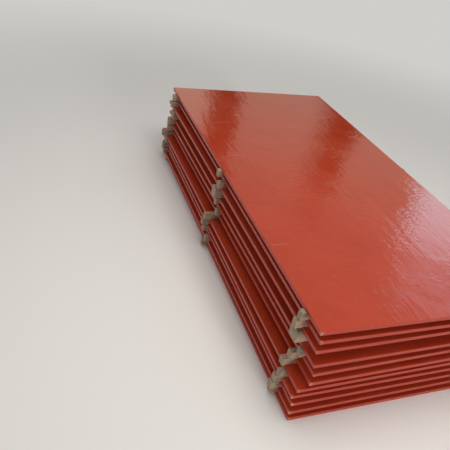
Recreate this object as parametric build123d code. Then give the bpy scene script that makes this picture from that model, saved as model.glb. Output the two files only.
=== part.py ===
from build123d import *
import os

# A stack of red painted plywood sheets, kept apart by sawn battens so that air reaches every face.
# Millimetres, +Z up. +X runs along the short front edge, +Y along the length, away from the front.
# The origin is on the floor, in the middle of the stack's footprint.

# Plywood sheet
sheet_width = 1220.0
sheet_length = 2440.0
sheet_thickness = 18.0
corner_radius = 2.5  # upright corners, knocked round by handling
arris_bevel = 0.8  # rubbed edge round the top and bottom faces

# Sawn batten, laid across the width on its wide side
batten_length = 1270.0
batten_width = 40.0
batten_height = 30.0
batten_bevel = 1.2  # along the four long edges
batten_inset = 130.0  # from a sheet's front or rear edge to the middle line of the nearest batten

# Thick battens, where the upper sheets were set down on the lower ones and the gap is twice as tall
thick_batten_width = 60.0
thick_batten_height = 60.0
thick_batten_level = 8  # the sheet they lie on, counted from the floor

# How the sheets lie, from the floor up: millimetres right and back of the top sheet, and degrees turned
sheet_places = [
    (-11.0, -2.0, 0.4),
    (-26.0, -1.0, 0.7),
    (-20.0, 2.0, 0.5),
    (-30.0, 3.0, 0.4),
    (-30.0, -1.0, 0.9),
    (7.0, -10.0, 0.9),
    (5.0, -2.0, 1.2),
    (4.0, -3.0, 0.7),
    (-6.0, 1.0, 0.7),
    (10.0, -1.0, 0.1),
    (0.0, 0.0, 0.0),
]

# How far battens stray from true, taken in turn: millimetres right and back, and degrees turned
batten_strays = [
    (-6.0, 25.0, 0.4),
    (-10.0, 10.0, -0.3),
    (7.0, -14.0, 0.5),
    (-12.0, 6.0, -0.6),
    (4.0, -20.0, 0.2),
    (9.0, 12.0, -0.4),
    (-8.0, 5.0, 0.3),
]

# The three rows of battens, as distances of their middle lines from a sheet's middle
outer_row = sheet_length / 2 - batten_inset
batten_rows = {"front": -outer_row, "middle": 0.0, "rear": outer_row}


def plywood_sheet():
    """A sheet flat on the floor, its middle over the origin."""
    board = Box(sheet_width, sheet_length, sheet_thickness, align=(Align.CENTER, Align.CENTER, Align.MIN))
    board = fillet(board.edges().filter_by(Axis.Z), corner_radius)
    bottom_face = board.faces().sort_by(Axis.Z)[0]
    top_face = board.faces().sort_by(Axis.Z)[-1]
    return chamfer(bottom_face.edges() + top_face.edges(), arris_bevel)


def sawn_batten(width, height):
    """A batten flat on the floor, its middle over the origin and its ends sawn square."""
    stick = Box(batten_length, width, height, align=(Align.CENTER, Align.CENTER, Align.MIN))
    return chamfer(stick.edges().filter_by(Axis.X), batten_bevel)


def gap_above(number):
    """The height of the battens on a sheet, which is counted from the floor."""
    return thick_batten_height if number == thick_batten_level else batten_height


def sheet_undersides():
    """The height of each sheet's underside, from the floor up."""
    heights = [0.0]
    for number in range(1, len(sheet_places)):
        heights.append(heights[-1] + sheet_thickness + gap_above(number))
    return heights


def stacked_sheets():
    """Each sheet by name, at its own height."""
    board = plywood_sheet()
    sheets = {}
    for number, ((right, back, turn), height) in enumerate(zip(sheet_places, sheet_undersides()), start=1):
        sheets[f"sheet_{number:02d}"] = Pos(right, back, height) * Rot(0, 0, turn) * board
    return sheets


def stacked_battens():
    """Each batten by name: three on every sheet but the top one, turned and shifted with that sheet."""
    thin_stick = sawn_batten(batten_width, batten_height)
    thick_stick = sawn_batten(thick_batten_width, thick_batten_height)
    battens = {}
    for number, ((right, back, turn), height) in enumerate(zip(sheet_places[:-1], sheet_undersides()), start=1):
        stick = thick_stick if number == thick_batten_level else thin_stick
        sheet_place = Pos(right, back, height + sheet_thickness) * Rot(0, 0, turn)
        for row, (row_name, row_distance) in enumerate(batten_rows.items()):
            turn_taken = ((number - 1) * len(batten_rows) + row) % len(batten_strays)
            stray_right, stray_back, stray_turn = batten_strays[turn_taken]
            on_sheet = Pos(stray_right, row_distance + stray_back, 0) * Rot(0, 0, stray_turn)
            battens[f"batten_{number:02d}_{row_name}"] = sheet_place * on_sheet * stick
    return battens


pieces = stacked_sheets() | stacked_battens()
footprint = Compound(list(pieces.values())).bounding_box().center()
to_origin = Pos(-footprint.X, -footprint.Y, 0)

os.makedirs("parts", exist_ok=True)
for name, piece in pieces.items():
    export_step(to_origin * piece, f"parts/{name}.step")
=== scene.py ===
import math
import random
from collections import namedtuple

import bpy
from mathutils import Matrix, Vector
from mathutils.geometry import delaunay_2d_cdt
from mathutils.noise import noise as smooth_noise


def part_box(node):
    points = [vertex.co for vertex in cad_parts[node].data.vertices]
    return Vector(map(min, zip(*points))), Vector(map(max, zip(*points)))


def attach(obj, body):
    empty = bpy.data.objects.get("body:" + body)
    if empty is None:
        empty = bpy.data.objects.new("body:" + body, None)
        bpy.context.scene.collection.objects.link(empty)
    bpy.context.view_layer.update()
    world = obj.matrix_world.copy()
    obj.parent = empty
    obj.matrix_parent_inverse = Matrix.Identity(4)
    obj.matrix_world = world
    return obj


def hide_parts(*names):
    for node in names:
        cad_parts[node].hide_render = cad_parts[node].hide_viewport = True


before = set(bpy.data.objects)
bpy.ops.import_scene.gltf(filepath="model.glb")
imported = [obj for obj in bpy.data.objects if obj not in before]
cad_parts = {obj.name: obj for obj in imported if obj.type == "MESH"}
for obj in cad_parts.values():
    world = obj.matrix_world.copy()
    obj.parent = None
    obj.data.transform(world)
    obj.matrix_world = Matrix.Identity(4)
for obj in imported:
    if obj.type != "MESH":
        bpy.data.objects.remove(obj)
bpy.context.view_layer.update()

# A stack of red formwork plywood, held apart by sawn softwood battens.
# Lengths are metres, unless a name or a comment says mm.

MM = 0.001
BACKDROP = "#CFCECB"


# Colours and nodes

MIX_A, MIX_B = 6, 7  # the two colour sockets of a Mix node, whose names it also gives to other sockets


def linear(hex_colour):
    """An sRGB hex colour as linear light and full alpha, the way sockets want it."""
    parts = [int(hex_colour[i:i + 2], 16) / 255 for i in (1, 3, 5)]
    return [p / 12.92 if p <= 0.04045 else ((p + 0.055) / 1.055) ** 2.4 for p in parts] + [1.0]


def live_output(node):
    """The first output that a node's settings leave in use."""
    return next(output for output in node.outputs if output.enabled)


def add(tree, kind, inputs=None, **settings):
    """Adds one node with its settings. An input takes a value, a socket, or a node's first live output."""
    node = tree.nodes.new(kind)
    for name, value in settings.items():
        setattr(node, name, value)
    for socket, value in (inputs or {}).items():
        if isinstance(value, bpy.types.Node):
            value = live_output(value)
        if isinstance(value, bpy.types.NodeSocket):
            tree.links.new(value, node.inputs[socket])
        else:
            node.inputs[socket].default_value = value
    return node


def new_material(name):
    """An empty node material with its Principled shader already joined to the output."""
    material = bpy.data.materials.new(name)
    material.use_nodes = True
    tree = material.node_tree
    tree.nodes.clear()
    skin = add(tree, "ShaderNodeBsdfPrincipled")
    add(tree, "ShaderNodeOutputMaterial", {"Surface": skin})
    return material, tree, skin


# Materials

def red_formwork_paint():
    """Alkyd paint rolled on plywood and dried hard: a saturated red-orange film with a wet gloss. The
    veneer's figure ripples it along the sheet, and fine roller lines run across. Knocks lay bare birch, and
    the
    arrises are painted pale: paint thinned by rubbing, and partly a painted highlight along them."""
    material, tree, skin = new_material("red_formwork_paint")
    place = add(tree, "ShaderNodeTexCoord").outputs["Object"]

    # Size of each pattern's lumps in mm right, back and up, then detail and roughness.
    # Orange peel is about 2 mm across, and is drawn at 8 mm so that it shows.
    pattern = {}
    for name, lump, detail, roughness in (
            ("roller_lines", (140, 7, 50), 3.0, 0.6),
            ("clouds", (350, 280, 300), 3.0, 0.55),
            ("scuffs", (50, 30, 40), 4.0, 0.65),
            ("figure", (34, 240, 50), 3.0, 0.5),
            ("crumple", (38, 20, 30), 2.0, 0.5),
            ("patches", (260, 220, 300), 1.0, 0.5),
            ("peel", (8, 8, 8), 1.0, 0.5)):
        spread = add(tree, "ShaderNodeMapping", {"Vector": place, "Scale": [1 / (mm * MM) for mm in lump]})
        pattern[name] = add(tree, "ShaderNodeTexNoise",
                            {"Vector": spread, "Scale": 1.0, "Detail": detail, "Roughness": roughness})

    # The sheets' own point values, each broken up by the scuffs
    point_values = {}
    for name, scuffed in (("rubbed", 0.6), ("bare", 0.5), ("scratched", 0.5), ("edge", 0.0)):
        value = add(tree, "ShaderNodeAttribute", attribute_name=name).outputs["Fac"]
        point_values[name] = add(tree, "ShaderNodeMath", {0: pattern["scuffs"], 1: scuffed, 2: value},
                         operation="MULTIPLY_ADD")

    # How much of each layer shows: nothing at the first level, and the given share at the second
    share = {}
    for name, source, low, high, most in (
            ("deeper", pattern["clouds"], 0.30, 0.70, 1.0),
            ("lines", pattern["roller_lines"], 0.62, 0.35, 0.07),
            ("dusty", pattern["scuffs"], 0.50, 0.80, 0.16),
            ("rubbed", point_values["rubbed"], 0.62, 1.20, 0.6),
            ("scratched", point_values["scratched"], 0.45, 0.95, 0.7),
            ("bare", point_values["bare"], 0.66, 0.84, 1.0),
            ("edge", point_values["edge"], 0.0, 1.0, 1.0),
            ("crumpled", pattern["patches"], 0.40, 0.60, 1.0)):
        levels = {"Value": source, "From Min": low, "From Max": high, "To Min": 0.0, "To Max": most}
        share[name] = add(tree, "ShaderNodeMapRange", levels, interpolation_type="SMOOTHSTEP")

    # The pale scratch colour also paints the top sheet's specks, partly as painted glints.
    colour = linear("#AF3A1F")
    # The pale arris colour is partly paint thinned by rubbing and partly a painted highlight along the
    # arrises.
    for name, over in (("deeper", "#B54025"), ("lines", "#7A2414"), ("dusty", "#8E6A5C"),
                       ("edge", "#AA2F1E"), ("rubbed", "#C65C47"), ("scratched", "#DDA08C")):
        colour = add(tree, "ShaderNodeMix", {0: share[name], MIX_A: colour, MIX_B: linear(over)},
                     data_type="RGBA")
    veneer = add(tree, "ShaderNodeMix",
                 {0: pattern["peel"], MIX_A: linear("#8A6450"), MIX_B: linear("#C9A892")}, data_type="RGBA")
    colour = add(tree, "ShaderNodeMix", {0: share["bare"], MIX_A: colour, MIX_B: veneer}, data_type="RGBA")
    tree.links.new(live_output(colour), skin.inputs["Base Color"])

    dullness = 0.075  # the roughness of the unharmed film
    for name, more in (("deeper", 0.05), ("rubbed", 0.15), ("edge", 0.22), ("bare", 0.5),
                       ("scratched", 0.35)):
        dullness = add(tree, "ShaderNodeMath", {0: share[name], 1: more, 2: dullness},
                       operation="MULTIPLY_ADD")
    tree.links.new(live_output(dullness), skin.inputs["Roughness"])
    skin.inputs["IOR"].default_value = 1.5

    # Relief in mm over the whole range of each pattern, of which about a third is used
    crumple = add(tree, "ShaderNodeMath", {0: pattern["crumple"], 1: share["crumpled"]}, operation="MULTIPLY")
    height = 0.0
    for relief, tall in ((pattern["figure"], 0.8), (crumple, 1.1), (pattern["peel"], 0.02),
                         (pattern["roller_lines"], 0.05)):
        height = add(tree, "ShaderNodeMath", {0: relief, 1: tall * MM, 2: height}, operation="MULTIPLY_ADD")
    bump = add(tree, "ShaderNodeBump", {"Height": height, "Strength": 1.0, "Distance": 1.0})
    tree.links.new(live_output(bump), skin.inputs["Normal"])
    return material


def sawn_softwood():
    """Spruce battens straight off the saw and left out in the yard: tan gone a little grey, growth rings on
    the ends, drying cracks from the heart, and the cross lines of the saw on a fuzzy matt face."""
    material, tree, skin = new_material("sawn_softwood")
    log = add(tree, "ShaderNodeAttribute", attribute_name="log_place").outputs["Vector"]

    # Size of each pattern's lumps in mm along the log and across it, then detail and roughness
    pattern = {}
    for name, lump, detail, roughness in (
            ("wander", (300, 22, 22), 2.0, 0.5),
            ("fibres", (90, 2, 2), 1.5, 0.5),
            ("weather", (120, 50, 50), 3.0, 0.6),
            ("grime", (40, 10, 10), 2.0, 0.55)):
        spread = add(tree, "ShaderNodeMapping", {"Vector": log, "Scale": [1 / (mm * MM) for mm in lump]})
        pattern[name] = add(tree, "ShaderNodeTexNoise",
                            {"Vector": spread, "Scale": 1.0, "Detail": detail, "Roughness": roughness})

    # Growth rings round the heart, wandering along the log
    ring_spacing, ring_wander = 3 * MM, 9 * MM
    across = add(tree, "ShaderNodeMapping", {"Vector": log, "Scale": (0.0, 1.0, 1.0)})
    radius = add(tree, "ShaderNodeVectorMath", {0: across}, operation="LENGTH").outputs["Value"]
    radius = add(tree, "ShaderNodeMath", {0: pattern["wander"], 1: ring_wander, 2: radius},
                 operation="MULTIPLY_ADD")
    rings = add(tree, "ShaderNodeMath", {0: radius, 1: ring_spacing}, operation="DIVIDE")
    rings = add(tree, "ShaderNodeMath", {0: rings}, operation="FRACT")

    # Drying cracks at a few bearings from the heart
    split = add(tree, "ShaderNodeSeparateXYZ", {0: log}).outputs
    bearing = add(tree, "ShaderNodeMath", {0: split["Z"], 1: split["Y"]}, operation="ARCTAN2")
    crack_line = add(tree, "ShaderNodeTexNoise", {"W": bearing, "Scale": 7.0, "Detail": 2.0},
                     noise_dimensions="1D")
    crack_line = add(tree, "ShaderNodeMath", {0: crack_line, 1: 0.5}, operation="SUBTRACT")
    crack_line = add(tree, "ShaderNodeMath", {0: crack_line}, operation="ABSOLUTE")

    # Saw lines are about 3 mm apart, and are drawn at 5 mm so that they show
    saw_spacing = 5 * MM
    saw = add(tree, "ShaderNodeMath", {0: split["X"], 1: math.tau / saw_spacing}, operation="MULTIPLY")
    saw = add(tree, "ShaderNodeMath", {0: pattern["wander"], 1: 9.0, 2: saw}, operation="MULTIPLY_ADD")
    saw = add(tree, "ShaderNodeMath", {0: saw}, operation="SINE")

    # How much of each layer shows: least at the first level, and most at the second
    share = {}
    for name, source, low, high, least, most in (
            ("late_wood", rings, 0.35, 0.95, 0.0, 0.8),
            ("fibres", pattern["fibres"], 0.35, 0.70, 0.0, 0.5),
            ("weather", pattern["weather"], 0.35, 0.70, 0.15, 0.60),
            ("grime", pattern["grime"], 0.55, 0.75, 0.0, 0.45),
            ("cracked", pattern["weather"], 0.45, 0.60, 0.0, 1.0),
            ("crack_line", crack_line, 0.012, 0.004, 0.0, 0.8)):
        levels = {"Value": source, "From Min": low, "From Max": high, "To Min": least, "To Max": most}
        share[name] = add(tree, "ShaderNodeMapRange", levels, interpolation_type="SMOOTHSTEP")
    share["cracks"] = add(tree, "ShaderNodeMath", {0: share["crack_line"], 1: share["cracked"]},
                          operation="MULTIPLY")

    colour = linear("#BBA085")
    for name, over in (("late_wood", "#8C6B4A"), ("fibres", "#9C8166"), ("weather", "#8D857C"),
                       ("grime", "#594C43"), ("cracks", "#2A231F")):
        colour = add(tree, "ShaderNodeMix", {0: share[name], MIX_A: colour, MIX_B: linear(over)},
                     data_type="RGBA")
    tree.links.new(live_output(colour), skin.inputs["Base Color"])
    skin.inputs["Roughness"].default_value = 0.85

    # Relief in mm
    height = 0.0
    for relief, tall in ((pattern["fibres"], 0.15), (share["late_wood"], 0.02), (saw, 0.04),
                         (share["cracks"], -0.8)):
        height = add(tree, "ShaderNodeMath", {0: relief, 1: tall * MM, 2: height}, operation="MULTIPLY_ADD")
    bump = add(tree, "ShaderNodeBump", {"Height": height, "Strength": 1.0, "Distance": 1.0})
    tree.links.new(live_output(bump), skin.inputs["Normal"])
    return material


def pale_floor_paint():
    """A plain pale matt floor that takes the stack's shadow and fades into the backdrop further out."""
    fade_start, fade_end = 2.2, 6.5
    material, tree, skin = new_material("pale_floor_paint")
    skin.inputs["Base Color"].default_value = linear("#F0EEEA")
    skin.inputs["Roughness"].default_value = 0.9
    place = add(tree, "ShaderNodeTexCoord").outputs["Object"]
    away = add(tree, "ShaderNodeVectorMath", {0: place}, operation="LENGTH").outputs["Value"]
    far = add(tree, "ShaderNodeMapRange", {"Value": away, "From Min": fade_start, "From Max": fade_end},
              interpolation_type="SMOOTHSTEP")
    glow = add(tree, "ShaderNodeEmission", {"Color": linear(BACKDROP)})
    faded = add(tree, "ShaderNodeMixShader", {0: far, 1: skin, 2: glow})
    tree.links.new(live_output(faded), tree.nodes["Material Output"].inputs["Surface"])
    return material


paint = red_formwork_paint()
softwood = sawn_softwood()


# Where each node lies

def lie_of(name):
    """A node's place, from the middle of its underside and its turn about the vertical, and its size when
    unturned."""
    mesh = bpy.data.objects[name].data
    swing = complex(0, 0)
    upright = 0.1  # a side's normal is more level than this
    for face in mesh.polygons:
        if abs(face.normal.z) < upright:
            swing += face.area * complex(face.normal.x, face.normal.y) ** 2
    turn = math.atan2(swing.imag, swing.real) / 2
    turn = (turn + math.pi / 4) % (math.pi / 2) - math.pi / 4
    unturned = [Matrix.Rotation(-turn, 3, "Z") @ v.co for v in mesh.vertices]
    low = Vector([min(p[k] for p in unturned) for k in range(3)])
    high = Vector([max(p[k] for p in unturned) for k in range(3)])
    middle = (low + high) / 2
    middle.z = low.z
    return Matrix.Rotation(turn, 4, "Z") @ Matrix.Translation(middle), high - low


def put_in_place(name, mesh, node):
    """A finished mesh as a piece that stands for its node."""
    piece = bpy.data.objects.new(name, mesh)
    bpy.context.scene.collection.objects.link(piece)
    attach(piece, "root")
    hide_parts(node)


# Plywood sheets

SHEETS = 11
PLIES = 11
EDGE_STEP = 30 * MM  # between stations on a straight, unharmed edge
LEAST_STEP = 0.35 * MM  # between any two stations
CORNER_RADIUS = 2.5 * MM
ARRIS_BAND = 0.9 * MM  # width of the pale band on either side of an arris: paint thinned by rubbing, and a painted highlight
ARRIS_UP, ARRIS_IN = 0.25 * MM, 0.35 * MM  # the middle of the rounded arris, where its pale band is strongest
LIP = 1.5 * MM  # how far in a knock can show
GUARD = 2.0 * MM  # where the face is whole again, still inside the rounded corners
WAVER = 0.15 * MM  # how far an edge wavers from straight, to either side
PLY_STEP = 0.24 * MM  # how far every other ply lies back at most
GLUE_LINE = 0.30 * MM  # height of the slope from one ply to the next
FACE_GRID = 55 * MM  # between points inside the top and bottom faces
FACE_MARGIN = 20 * MM  # the least way from the edge to those points
SCRATCH_DEPTH = 0.08 * MM
LARGEST_KNOCK = 4.0 * MM
KNOCK_REACH = 18 * MM  # about how far up or down the edge the largest corner knock goes
CORNER_SCUFF = 11 * MM  # how far past a corner's knocks its edge is rubbed pale

# Marks on the top sheet, in mm right and back of its front left corner. The specks are pale dents: partly
# chips in the paint, partly painted glints.
# Scratches: x, y, half length, half width, degrees turned. Specks: x, y, radius.
TOP_SCRATCHES = ((62, 532, 58, 1.7, -3), (1122, 744, 76, 1.9, 3), (183, 1846, 83, 1.9, 3),
                 (330, 1980, 55, 1.6, 1), (790, 1490, 42, 1.6, 8), (905, 310, 30, 1.3, -12),
                 (150, 1385, 60, 1.4, 2))
TOP_SPECKS = ((473, 1858, 4.5), (371, 571, 3.6), (215, 299, 3.0), (588, 1121, 5.5), (386, 177, 3.4),
              (398, 186, 2.4), (566, 84, 3.8), (583, 92, 2.6), (880, 1320, 3.4), (140, 1290, 2.8),
              (690, 700, 2.4))

# Places and half lengths are distances along a sheet's edge. A knock at no corner has None for its number.
Knock = namedtuple("Knock", "place half depth reach arris corner")
Void = namedtuple("Void", "place half depth ply")
Ring = namedtuple("Ring", "height inset rubbed ply")
Values = namedtuple("Values", "rubbed bare scratched edge")  # what the paint reads at each point, from 0 to 1
WHOLE = -1  # the ply of a ring that no damage reaches


class EdgePath:
    """The line round a sheet's edge, from the left end of the front edge, anticlockwise seen from above."""

    def __init__(self, width, length):
        x, y, radius = width / 2 - CORNER_RADIUS, length / 2 - CORNER_RADIUS, CORNER_RADIUS
        self.runs = []  # kind, start or arc centre, direction or angle at an arc's start, length
        corners = ((x, -y), (x, y), (-x, y), (-x, -y))
        starts = ((-x, -y - radius), (x + radius, -y), (x, y + radius), (-x - radius, y))
        along = ((1, 0), (0, 1), (-1, 0), (0, -1))
        for side in range(4):
            self.runs.append(("straight", starts[side], along[side], 2 * x if side % 2 == 0 else 2 * y))
            self.runs.append(("arc", corners[side], -math.pi / 2 + side * math.pi / 2, math.pi * radius / 2))
        self.starts = [0.0]
        for run in self.runs:
            self.starts.append(self.starts[-1] + run[3])
        self.round = self.starts[-1]

    def at(self, s):
        """The point and the outward direction at a distance along the path."""
        s %= self.round
        rounding = 1e-12
        number = max(k for k in range(len(self.runs)) if self.starts[k] <= s + rounding)
        kind, first, second, _ = self.runs[number]
        gone = s - self.starts[number]
        if kind == "straight":
            return first[0] + second[0] * gone, first[1] + second[1] * gone, second[1], -second[0]
        angle = second + gone / CORNER_RADIUS
        return (first[0] + CORNER_RADIUS * math.cos(angle), first[1] + CORNER_RADIUS * math.sin(angle),
                math.cos(angle), math.sin(angle))

    def corner(self, number):
        """The distance at the middle of a corner: 0 front right, 1 rear right, 2 rear left, 3 front left."""
        return (self.starts[2 * number + 1] + self.starts[2 * number + 2]) / 2

    def apart(self, s, t):
        """The signed way from t to s along the path."""
        return (s - t + self.round / 2) % self.round - self.round / 2


def knocks_of(path, dice):
    """The damage on one sheet: two knocks at each corner, and a few dents anywhere along the edge."""
    knocks = []
    for corner in range(4):
        for arris in ("top", "bottom"):
            size = dice.uniform(0.2, 1.0) ** 2 * LARGEST_KNOCK
            place = path.corner(corner) + dice.uniform(-2, 2) * MM
            half = max(2 * MM, size * dice.uniform(1.8, 3.6))
            reach = (0.2 + size / LARGEST_KNOCK * dice.uniform(0.4, 1.0)) * KNOCK_REACH
            knocks.append(Knock(place, half, size, reach, arris, corner))
    for _ in range(dice.randint(5, 9)):
        depth = dice.uniform(0.5, 1.8) * MM
        place = dice.uniform(0, path.round)
        half = depth * dice.uniform(1.5, 3.5)
        reach = depth * dice.uniform(1.0, 2.2)
        knocks.append(Knock(place, half, depth, reach, dice.choice(("top", "top", "bottom")), None))
    return knocks


def voids_of(path, dice):
    """Short gaps in the core, where two veneers don't meet."""
    return [Void(dice.uniform(0, path.round), dice.uniform(1.5, 4.5) * MM, dice.uniform(1.0, 2.5) * MM,
                 dice.randrange(2, PLIES - 2)) for _ in range(dice.randint(8, 13))]


def stations_of(path, spots):
    """Distances along the edge: even on the straights, and close together at the corners and at each spot."""
    found = []
    for number, run in enumerate(path.runs):
        count = max(5, round(run[3] / EDGE_STEP)) if run[0] == "straight" else 6
        found += [path.starts[number] + run[3] * k / count for k in range(count)]
    for spot in spots:
        found += [spot.place + spot.half * (k / 5 - 1) for k in range(11)]
    found = sorted(s % path.round for s in found)
    kept = [found[0]]
    for s in found[1:]:
        if s - kept[-1] > LEAST_STEP and found[0] + path.round - s > LEAST_STEP:
            kept.append(s)
    return kept


def rings_of(thick):
    """The rings round a sheet, from the underside up over the plies to the top face."""
    ply = thick / PLIES
    top = PLIES - 1
    # The rings at each arris carry its pale band: paint thinned by rubbing, and a painted highlight.
    rings = [Ring(0, GUARD, 0.0, WHOLE), Ring(0, LIP, 0.0, 0), Ring(0, ARRIS_BAND, 0.5, 0),
             Ring(ARRIS_UP, ARRIS_IN, 1.0, 0), Ring(ARRIS_BAND, 0, 0.5, 0)]
    for joint in range(1, PLIES):
        rings += [Ring(joint * ply - GLUE_LINE / 2, 0, 0.0, joint - 1),
                  Ring(joint * ply + GLUE_LINE / 2, 0, 0.0, joint)]
    return rings + [Ring(thick - ARRIS_BAND, 0, 0.5, top), Ring(thick - ARRIS_UP, ARRIS_IN, 1.0, top),
                    Ring(thick, ARRIS_BAND, 0.5, top), Ring(thick, LIP, 0.0, top), Ring(thick, GUARD, 0.0, WHOLE)]


def edge_point(path, s, ring, thick, seed, knocks, voids):
    """A ring's point at a distance along the edge, and its values for the paint."""
    # A place times 40, for one, gives noise with lumps of 25 mm
    x, y, nx, ny = path.at(s)
    height = ring.height
    back = ring.inset + WAVER * (1 + smooth_noise((x * 3, y * 3, seed)))
    if ARRIS_BAND < height < thick - ARRIS_BAND and ring.ply % 2:
        back += PLY_STEP * (0.6 + 0.4 * smooth_noise((x * 40, y * 40, ring.ply)))
    dx, dy, shown, scuffed = -nx * back, -ny * back, 0.0, 0.0

    for knock in knocks:
        away = path.apart(s, knock.place) / knock.half
        if knock.corner is not None and ring.ply != WHOLE:
            scuffed = max(scuffed, 1 - abs(away) * knock.half / (knock.half + CORNER_SCUFF))
        if abs(away) < 1:
            from_arris = (thick - height) if knock.arris == "top" else height
            bite = (1 - away * away) ** 1.5 * max(0.0, 1 - from_arris / knock.reach)
            bite *= 0.75 + 0.25 * smooth_noise((x * 500, y * 500, height * 500))
            if knock.corner is None:
                dx, dy = dx - nx * knock.depth * bite, dy - ny * knock.depth * bite
            else:
                dx -= math.copysign(knock.depth * bite * 0.7, x)
                dy -= math.copysign(knock.depth * bite * 0.7, y)
            if ring.ply != WHOLE:
                shown = max(shown, min(1.0, bite * 1.6, knock.depth * bite / MM))

    for void in voids:
        away = path.apart(s, void.place) / void.half
        if abs(away) < 1 and ring.ply == void.ply:
            dx, dy = dx - nx * void.depth * (1 - away ** 4), dy - ny * void.depth * (1 - away ** 4)

    # The pale arris band: paint thinned by rubbing, and partly a painted highlight, broken up by noise.
    rubbed = ring.rubbed * (0.55 + 0.45 * smooth_noise((x * 8, y * 8, seed + 5.5)))
    scuffed *= 0.45 + 0.35 * smooth_noise((x * 90, y * 90, height * 90 + seed))
    on_edge = 1.0 if 0 < height < thick else 0.0
    return (x + dx, y + dy, height), Values(min(1.0, rubbed + shown), shown, scuffed, on_edge)


def marks_of(scratches, specks, dice):
    """Points that draw the marks in a face: right, back, how far down, and how strongly marked from 0 to 1. A
    speck is a small dent painted pale, partly as a painted glint.
    """
    points = []
    for x, y, half_length, half_width, turned in scratches:
        steps = max(4, round(half_length / 4))
        ahead = complex(math.cos(math.radians(turned)), math.sin(math.radians(turned)))
        for k in range(-steps, steps + 1):
            sway = dice.uniform(-0.3, 0.3) * half_width + 1.5 * math.sin(2.2 * k / steps)
            fading = dice.uniform(0.5, 1.0) * (1 - abs(k / steps) ** 3)
            for side, depth, shown in ((-1, 0, 0.0), (0, 1, fading), (1, 0, 0.0)):
                spot = complex(x, y) + ahead * complex(half_length * k / steps, sway + side * half_width)
                points.append((spot.real * MM, spot.imag * MM, depth * shown * SCRATCH_DEPTH, shown))
    # A speck is a small dent painted pale: partly a chip in the paint, partly a painted glint.
    for x, y, radius in specks:
        points.append((x * MM, y * MM, SCRATCH_DEPTH, 1.0))
        for k in range(7):
            out = radius * dice.uniform(0.7, 1.2)
            angle = k * math.tau / 7
            points.append(((x + out * math.cos(angle)) * MM, (y + out * math.sin(angle)) * MM, 0.0, 0.0))
    return points


def face_grid(width, length):
    """Even points inside a broad face, in the form that marks_of gives."""
    most_x, most_y = width / 2 - FACE_MARGIN, length / 2 - FACE_MARGIN
    columns = range(-int(most_x / FACE_GRID) - 1, int(most_x / FACE_GRID) + 2)
    rows = range(-int(most_y / FACE_GRID) - 1, int(most_y / FACE_GRID) + 2)
    return [(gx * FACE_GRID, gy * FACE_GRID, 0.0, 0.0) for gx in columns for gy in rows
            if abs(gx * FACE_GRID) < most_x and abs(gy * FACE_GRID) < most_y]


def fill_face(points, values, faces, rim, inner, height):
    """Closes a broad face, from the points whose numbers are its rim to those inside it. It faces down at
    height 0, and up above."""
    count = len(rim)
    outline = [Vector(points[k][:2]) for k in rim]
    sides = [(k, (k + 1) % count) for k in range(count)]
    inside_only, nearest = 1, 1e-7
    flat, _, triangles, sources, _, _ = delaunay_2d_cdt(
        outline + [Vector(p[:2]) for p in inner], sides, [], inside_only, nearest)
    number = {}
    for k, source in enumerate(sources):
        first = min(source, default=None)
        if first is not None and first < count:
            number[k] = rim[first]
        else:
            x, y, drop, shown = inner[first - count] if source else (flat[k].x, flat[k].y, 0.0, 0.0)
            number[k] = len(points)
            points.append((x, y, height - drop))
            values.append(Values(0.0, 0.0, shown, 0.0))
    for triangle in triangles:
        corners = [number[k] for k in triangle]
        if len(set(corners)) == 3:
            faces.append(tuple(corners if height else reversed(corners)))


def plywood_mesh(name, size, seed, scratches, specks):
    """One painted sheet on the floor: plies stepped along its edges, arrises painted pale with paint thinned
    by rubbing and a painted highlight, knocked corners and edges, and small voids in the core."""
    dice = random.Random(seed)
    width, length, thick = size
    path = EdgePath(width, length)
    knocks, voids = knocks_of(path, dice), voids_of(path, dice)
    stations = stations_of(path, knocks + voids)
    rings = rings_of(thick)

    points, values = [], []
    for ring in rings:
        for s in stations:
            point, value = edge_point(path, s, ring, thick, seed, knocks, voids)
            points.append(point)
            values.append(value)
    count = len(stations)
    faces = []
    for lower in range(0, len(points) - count, count):
        upper = lower + count
        for k in range(count):
            after = (k + 1) % count
            faces.append((lower + k, lower + after, upper + after, upper + k))

    grid = face_grid(width, length)
    marks = [(x - width / 2, y - length / 2, drop, shown)
             for x, y, drop, shown in marks_of(scratches, specks, dice)]
    lowest, highest = range(count), range(len(points) - count, len(points))
    fill_face(points, values, faces, lowest, grid, 0.0)
    fill_face(points, values, faces, highest, grid + marks, thick)

    mesh = bpy.data.meshes.new(name)
    mesh.from_pydata(points, [], faces)
    for label in Values._fields:
        attribute = mesh.attributes.new(label, "FLOAT", "POINT")
        attribute.data.foreach_set("value", [getattr(value, label) for value in values])
    mesh.materials.append(paint)
    mesh.update()
    return mesh


for number in range(1, SHEETS + 1):
    node = f"sheet_{number:02d}"
    place, size = lie_of(node)
    scratches, specks = (TOP_SCRATCHES, TOP_SPECKS) if number == SHEETS else ((), ())
    board = plywood_mesh(f"painted_{node}", size, number, scratches, specks)
    board.transform(place)
    put_in_place(f"painted_{node}", board, node)


# Battens

BATTEN_STATIONS = 64  # along a stick
BATTEN_ARRIS = 1.5 * MM
SAW_UNEVENNESS = 0.2 * MM
END_TRIM = 0.4 * MM  # how far each end stays inside the node's


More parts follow.
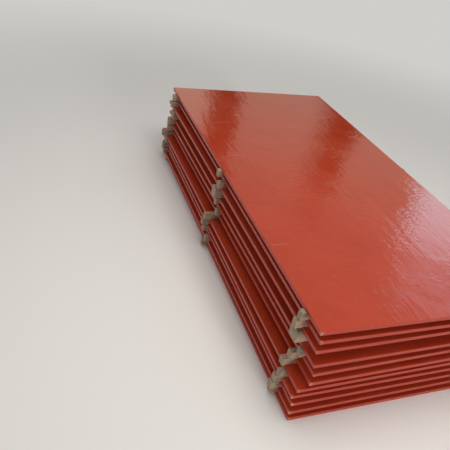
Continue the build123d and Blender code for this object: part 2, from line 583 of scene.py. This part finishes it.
def batten_tree():
    """A sawn stick along X, its rounded section swept along its length, a little uneven, keeping its place in
    the log."""
    tree = bpy.data.node_groups.new("sawn_batten", "GeometryNodeTree")
    for label, kind in (("Length", "Float"), ("Width", "Float"), ("Height", "Float"), ("Arris", "Float"),
                        ("Unevenness", "Float"), ("Seed", "Int"), ("Wood", "Material")):
        tree.interface.new_socket(label, in_out="INPUT", socket_type=f"NodeSocket{kind}")
    tree.interface.new_socket("Geometry", in_out="OUTPUT", socket_type="NodeSocketGeometry")
    given = add(tree, "NodeGroupInput").outputs

    right = add(tree, "ShaderNodeMath", {0: given["Length"], 1: 0.5}, operation="MULTIPLY")
    left = add(tree, "ShaderNodeMath", {0: given["Length"], 1: -0.5}, operation="MULTIPLY")
    line = add(tree, "GeometryNodeCurvePrimitiveLine", {"Start": add(tree, "ShaderNodeCombineXYZ", {0: left}),
                                                        "End": add(tree, "ShaderNodeCombineXYZ", {0: right})})
    line = add(tree, "GeometryNodeResampleCurve", {"Curve": line, "Count": BATTEN_STATIONS})
    section = add(tree, "GeometryNodeCurvePrimitiveQuadrilateral",
                  {"Width": given["Height"], "Height": given["Width"]})
    section = add(tree, "GeometryNodeFilletCurve",
                  {"Curve": section, "Radius": given["Arris"], "Count": 2}, mode="POLY")
    section = add(tree, "GeometryNodeSubdivideCurve", {"Curve": section, "Cuts": 3})
    stick = add(tree, "GeometryNodeCurveToMesh", {"Curve": line, "Profile Curve": section, "Fill Caps": True})

    # Faces pushed in here and there, never out, as the saw left them
    lump = (0.08, 0.03, 0.03)
    place = add(tree, "GeometryNodeInputPosition")
    moved = add(tree, "ShaderNodeVectorMath", {0: place, 1: given["Seed"]}, operation="ADD")
    moved = add(tree, "ShaderNodeVectorMath", {0: moved, 1: [1 / m for m in lump]}, operation="MULTIPLY")
    lumps = add(tree, "ShaderNodeTexNoise", {"Vector": moved, "Scale": 1.0, "Detail": 2.0})
    inward = add(tree, "ShaderNodeMath", {0: lumps, 1: given["Unevenness"]}, operation="MULTIPLY")
    inward = add(tree, "ShaderNodeMath", {0: inward, 1: -1.0}, operation="MULTIPLY")
    outwards = add(tree, "GeometryNodeInputNormal")
    shift = add(tree, "ShaderNodeVectorMath", {0: outwards, "Scale": inward}, operation="SCALE")
    stick = add(tree, "GeometryNodeSetPosition", {"Geometry": stick, "Offset": shift})

    # The log's heart lies below the stick, in another place for each
    least, most = (0.0, -0.035, -0.06), (9.0, 0.035, -0.012)
    heart = add(tree, "FunctionNodeRandomValue",
                {0: least, 1: most, "Seed": given["Seed"], "ID": given["Seed"]}, data_type="FLOAT_VECTOR")
    place = add(tree, "GeometryNodeInputPosition")
    log = add(tree, "ShaderNodeVectorMath", {0: place, 1: heart}, operation="ADD")
    stick = add(tree, "GeometryNodeStoreNamedAttribute",
                {"Geometry": stick, "Name": "log_place", "Value": log},
                data_type="FLOAT_VECTOR", domain="POINT")
    stick = add(tree, "GeometryNodeSetShadeSmooth", {"Geometry": stick, "Shade Smooth": False})
    stick = add(tree, "GeometryNodeRealizeInstances", {"Geometry": stick})
    stick = add(tree, "GeometryNodeSetMaterial", {"Geometry": stick, "Material": given["Wood"]})
    add(tree, "NodeGroupOutput", {0: stick})
    return tree


def grown(tree, name, values):
    """The plain mesh that a geometry tree makes with these input values."""
    holder = bpy.data.objects.new(name, bpy.data.meshes.new(name))
    bpy.context.scene.collection.objects.link(holder)
    modifier = holder.modifiers.new("grow", "NODES")
    modifier.node_group = tree
    for item in tree.interface.items_tree:
        if item.in_out == "INPUT":
            modifier[item.identifier] = values[item.name]
    depsgraph = bpy.context.evaluated_depsgraph_get()
    mesh = bpy.data.meshes.new_from_object(holder.evaluated_get(depsgraph))
    mesh.name = name
    holder.modifiers.remove(modifier)
    bpy.data.objects.remove(holder)
    return mesh


sawn_batten = batten_tree()
for number in range(1, SHEETS):
    for row, row_name in enumerate(("front", "middle", "rear")):
        node = f"batten_{number:02d}_{row_name}"
        place, size = lie_of(node)
        stick = grown(sawn_batten, f"sawn_{node}", {
            "Length": size.x - 2 * END_TRIM, "Width": size.y, "Height": size.z, "Arris": BATTEN_ARRIS,
            "Unevenness": SAW_UNEVENNESS, "Seed": number * 3 + row, "Wood": softwood})
        stick.transform(place @ Matrix.Translation((0, 0, size.z / 2)))
        put_in_place(f"sawn_{node}", stick, node)


# Floor, light and camera

FLOOR_HALF = 30.0
floor_mesh = bpy.data.meshes.new("floor")
floor_corners = [(x * FLOOR_HALF, y * FLOOR_HALF, 0) for x, y in ((-1, -1), (1, -1), (1, 1), (-1, 1))]
floor_mesh.from_pydata(floor_corners, [], [(0, 1, 2, 3)])
floor = bpy.data.objects.new("floor", floor_mesh)
bpy.context.scene.collection.objects.link(floor)
floor_mesh.materials.append(pale_floor_paint())

# Parts of the studio that only the gloss shows, in degrees: middle and half width clockwise from +Y, middle
# and half height above level, and how softly the borders fade. Before each stands by what share it changes
# the studio's brightness, or a bright pane's own brightness.
STUDIO_PARTS = [(0.45, (10.8, 8.5, 14.0, 9.0, 2.0)), (-0.95, (21.4, 1.3, 9.0, 19.5, 1.0)),
                (-0.95, (36.1, 0.9, 4.0, 17.5, 0.8)), (-0.95, (35.3, 1.0, 14.0, 11.5, 0.8)),
                (-0.5, (34.4, 1.2, 16.0, 13.5, 1.5))]
for side in (-135.0, -45.0, 135.0):
    STUDIO_PARTS += [(1.6, (side - 7.0, 6.0, 20.0, 5.0, 2.5)), (-0.85, (side + 6.0, 2.0, 12.0, 16.0, 1.5))]
WARM_SCREEN = (40.0, 40.0, 0.0, 23.5, 7.0)
BRIGHT_PANES = ((2.45, (50.6, 3.2, 24.8, 3.4, 2.6)), (1.3, (55.0, 5.5, 33.2, 0.5, 2.5)))


def studio_world():
    """Plain soft light from all round before a pale background. The gloss shows a studio there instead: a
    warm screen, dark gaps between bright panels, and two bright cool panes."""
    world = bpy.data.worlds.new("studio")
    bpy.context.scene.world = world
    world.use_nodes = True
    tree = world.node_tree
    tree.nodes.clear()
    generated = add(tree, "ShaderNodeTexCoord").outputs["Generated"]
    direction = add(tree, "ShaderNodeSeparateXYZ", {0: generated}).outputs
    azimuth = add(tree, "ShaderNodeMath", {0: direction["X"], 1: direction["Y"]}, operation="ARCTAN2")
    elevation = add(tree, "ShaderNodeMath", {0: direction["Z"]}, operation="ARCSINE")

    def pane(azimuth_middle, half_width, elevation_middle, half_height, softness):
        """One inside a soft-edged part of the studio, and nothing outside it."""
        inside = 1.0
        for angle, middle, half in ((azimuth, azimuth_middle, half_width),
                                    (elevation, elevation_middle, half_height)):
            away = add(tree, "ShaderNodeMath", {0: angle, 1: math.radians(middle)}, operation="SUBTRACT")
            away = add(tree, "ShaderNodeMath", {0: away}, operation="ABSOLUTE")
            near = add(tree, "ShaderNodeMapRange", {"Value": away, "From Min": math.radians(half + softness),
                                                    "From Max": math.radians(half)},
                       interpolation_type="SMOOTHSTEP")
            inside = add(tree, "ShaderNodeMath", {0: near, 1: inside}, operation="MULTIPLY")
        return inside

    studio = add(tree, "ShaderNodeMix",
                 {0: pane(*WARM_SCREEN), MIX_A: linear("#C8C8C8"), MIX_B: linear("#FFF4E2")},
                 data_type="RGBA")
    for share, where in STUDIO_PARTS:
        change = add(tree, "ShaderNodeMath", {0: pane(*where), 1: share, 2: 1.0}, operation="MULTIPLY_ADD")
        studio = add(tree, "ShaderNodeMix", {0: 1.0, MIX_A: studio, MIX_B: change},
                     data_type="RGBA", blend_type="MULTIPLY")
    studio = add(tree, "ShaderNodeMix", {0: 1.0, MIX_A: studio, MIX_B: linear("#D9D8D6")},
                 data_type="RGBA", blend_type="MULTIPLY")
    for level, where in BRIGHT_PANES:
        bright = add(tree, "ShaderNodeMath", {0: pane(*where), 1: level}, operation="MULTIPLY")
        cool = add(tree, "ShaderNodeMix", {0: 1.0, MIX_A: bright, MIX_B: linear("#C5E8FF")},
                   data_type="RGBA", blend_type="MULTIPLY")
        studio = add(tree, "ShaderNodeMix", {0: 1.0, MIX_A: studio, MIX_B: cool},
                     data_type="RGBA", blend_type="ADD")

    ray = add(tree, "ShaderNodeLightPath").outputs
    behind = add(tree, "ShaderNodeMix", {0: ray["Is Glossy Ray"], MIX_A: linear(BACKDROP), MIX_B: studio},
                 data_type="RGBA")
    seen = add(tree, "ShaderNodeMath", {0: ray["Is Camera Ray"], 1: ray["Is Glossy Ray"]},
               operation="MAXIMUM")
    seen = add(tree, "ShaderNodeMath", {0: seen, 1: ray["Is Transmission Ray"]}, operation="MAXIMUM")
    shown = add(tree, "ShaderNodeMix", {0: seen, MIX_A: linear("#BAB9B8"), MIX_B: behind}, data_type="RGBA")
    background = add(tree, "ShaderNodeBackground", {"Color": shown, "Strength": 1.0})
    add(tree, "ShaderNodeOutputWorld", {"Surface": background})


def soft_panel(name, place, aim, size, spread, power, colour):
    """A square area lamp aimed at a point, fading towards its borders. The camera doesn't see it. Its spread
    is in degrees and its power in watts."""
    lamp = bpy.data.lights.new(name, "AREA")
    lamp.shape = "SQUARE"
    lamp.size = size
    lamp.spread = math.radians(spread)
    lamp.energy = power
    lamp.color = linear(colour)[:3]
    lamp.use_nodes = True
    tree = lamp.node_tree
    tree.nodes.clear()
    spot = add(tree, "ShaderNodeNewGeometry").outputs["Parametric"]
    middle = (0.5, 0.5, 0.0)
    away = add(tree, "ShaderNodeVectorMath", {0: spot, 1: middle}, operation="DISTANCE").outputs["Value"]
    bright = add(tree, "ShaderNodeMapRange", {"Value": away, "From Min": 0.5, "From Max": 0.1},
                 interpolation_type="SMOOTHSTEP")
    add(tree, "ShaderNodeOutputLight", {"Surface": add(tree, "ShaderNodeEmission", {"Strength": bright})})
    panel = bpy.data.objects.new(name, lamp)
    bpy.context.scene.collection.objects.link(panel)
    place, aim = Vector(place), Vector(aim)
    aimed = (aim - place).to_track_quat("-Z", "Y").to_matrix().to_4x4()
    panel.matrix_world = Matrix.Translation(place) @ aimed
    panel.visible_camera = False
    return panel


# The camera, fitted to the top sheet's corners and edges in a photograph 450 pixels wide
PHOTO_WIDTH = 450
FOCAL_LENGTH = 504.22  # pixels
SENSOR_WIDTH = 36.0  # mm
FROM_FRONT_LEFT = Vector((-0.95666, -1.07167, 1.28729))  # the camera, from the top sheet's front left corner
LOOKS_RIGHT, LOOKS_DOWN, ROLLS = math.radians(24.39), math.radians(33.545), math.radians(-11.883)


def photo_camera():
    """The camera where the photograph was taken from."""
    low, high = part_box("sheet_11")
    corner = Vector((low[0], low[1], high[2]))
    level = math.cos(LOOKS_DOWN)
    forward = Vector((math.sin(LOOKS_RIGHT) * level, math.cos(LOOKS_RIGHT) * level, -math.sin(LOOKS_DOWN)))
    right = forward.cross(Vector((0, 0, 1))).normalized()
    below = forward.cross(right)
    image_right = right * math.cos(ROLLS) + below * math.sin(ROLLS)
    image_down = below * math.cos(ROLLS) - right * math.sin(ROLLS)
    lens = bpy.data.cameras.new("photo_camera")
    lens.sensor_width = SENSOR_WIDTH
    lens.lens = SENSOR_WIDTH * FOCAL_LENGTH / PHOTO_WIDTH
    camera = bpy.data.objects.new("photo_camera", lens)
    bpy.context.scene.collection.objects.link(camera)
    turned = Matrix((image_right, -image_down, -forward)).transposed().to_4x4()
    camera.matrix_world = Matrix.Translation(corner + FROM_FRONT_LEFT) @ turned
    bpy.context.scene.camera = camera


studio_world()
soft_panel("top_panel", (-0.2, -0.9, 3.03), (-0.1, -0.9, 0.53), 2.6, 180, 124.0, "#FFFAF4")
front_panel = soft_panel("front_panel", (1.2, -12.0, 2.6), (0.0, -1.2, 0.3), 4.0, 34, 70.0, "#FFFFFF")
front_panel.visible_glossy = False  # or else it whites out the top sheet, seen from behind
photo_camera()
bpy.context.scene.view_settings.view_transform = "Standard"
